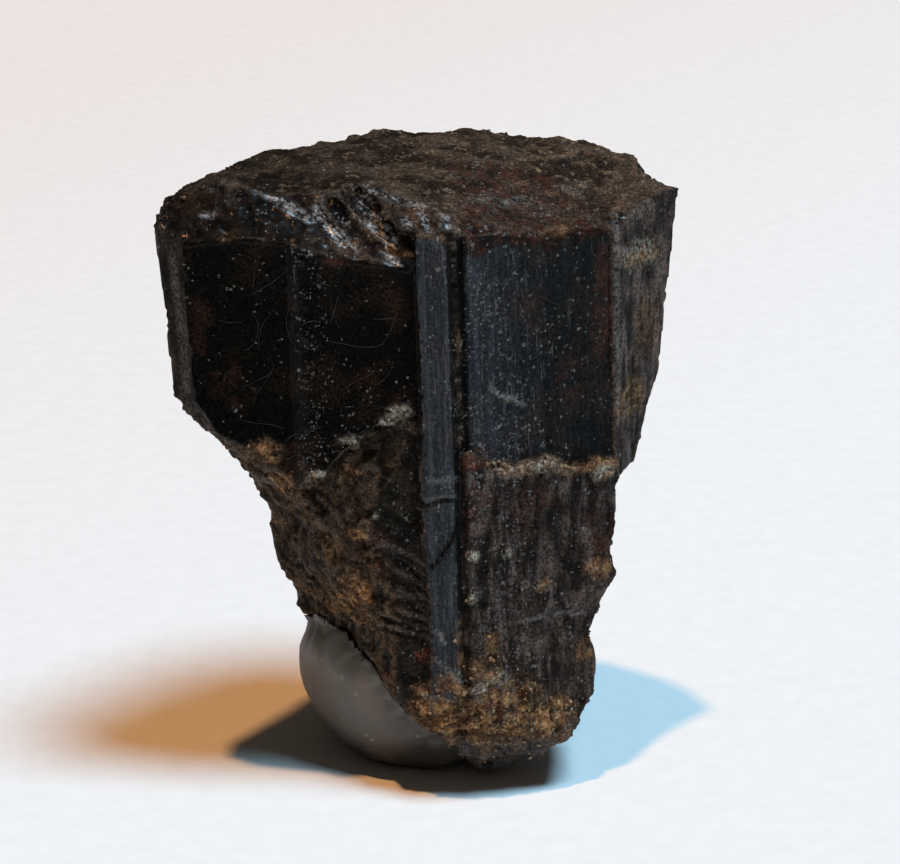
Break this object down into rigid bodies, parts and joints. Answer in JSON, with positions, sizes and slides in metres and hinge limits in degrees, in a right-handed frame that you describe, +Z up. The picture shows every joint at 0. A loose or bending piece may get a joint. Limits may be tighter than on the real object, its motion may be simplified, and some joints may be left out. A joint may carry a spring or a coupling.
{
  "type": "painite crystal",
  "caption": "Dark striated painite crystal with a flat broken top, stood on its narrow broken end in a small lump of grey mineral putty.",
  "frame": {"origin": "centre of the putty's flat foot, on the surface that the specimen stands on", "axes": "+Z up along the crystal, -Y out of the crystal's striated front, +X to the right seen from the front"},
  "size_m": [0.0098, 0.0058, 0.0123],
  "materials": {
    "painite": "near-black red-brown crystal, glossy striated faces, rough tan breaks",
    "mineral_putty": "smooth matte grey putty"
  },
  "bodies": {
    "root": {"crystal": "painite", "putty": "mineral_putty"}
  },
  "joints": []
}
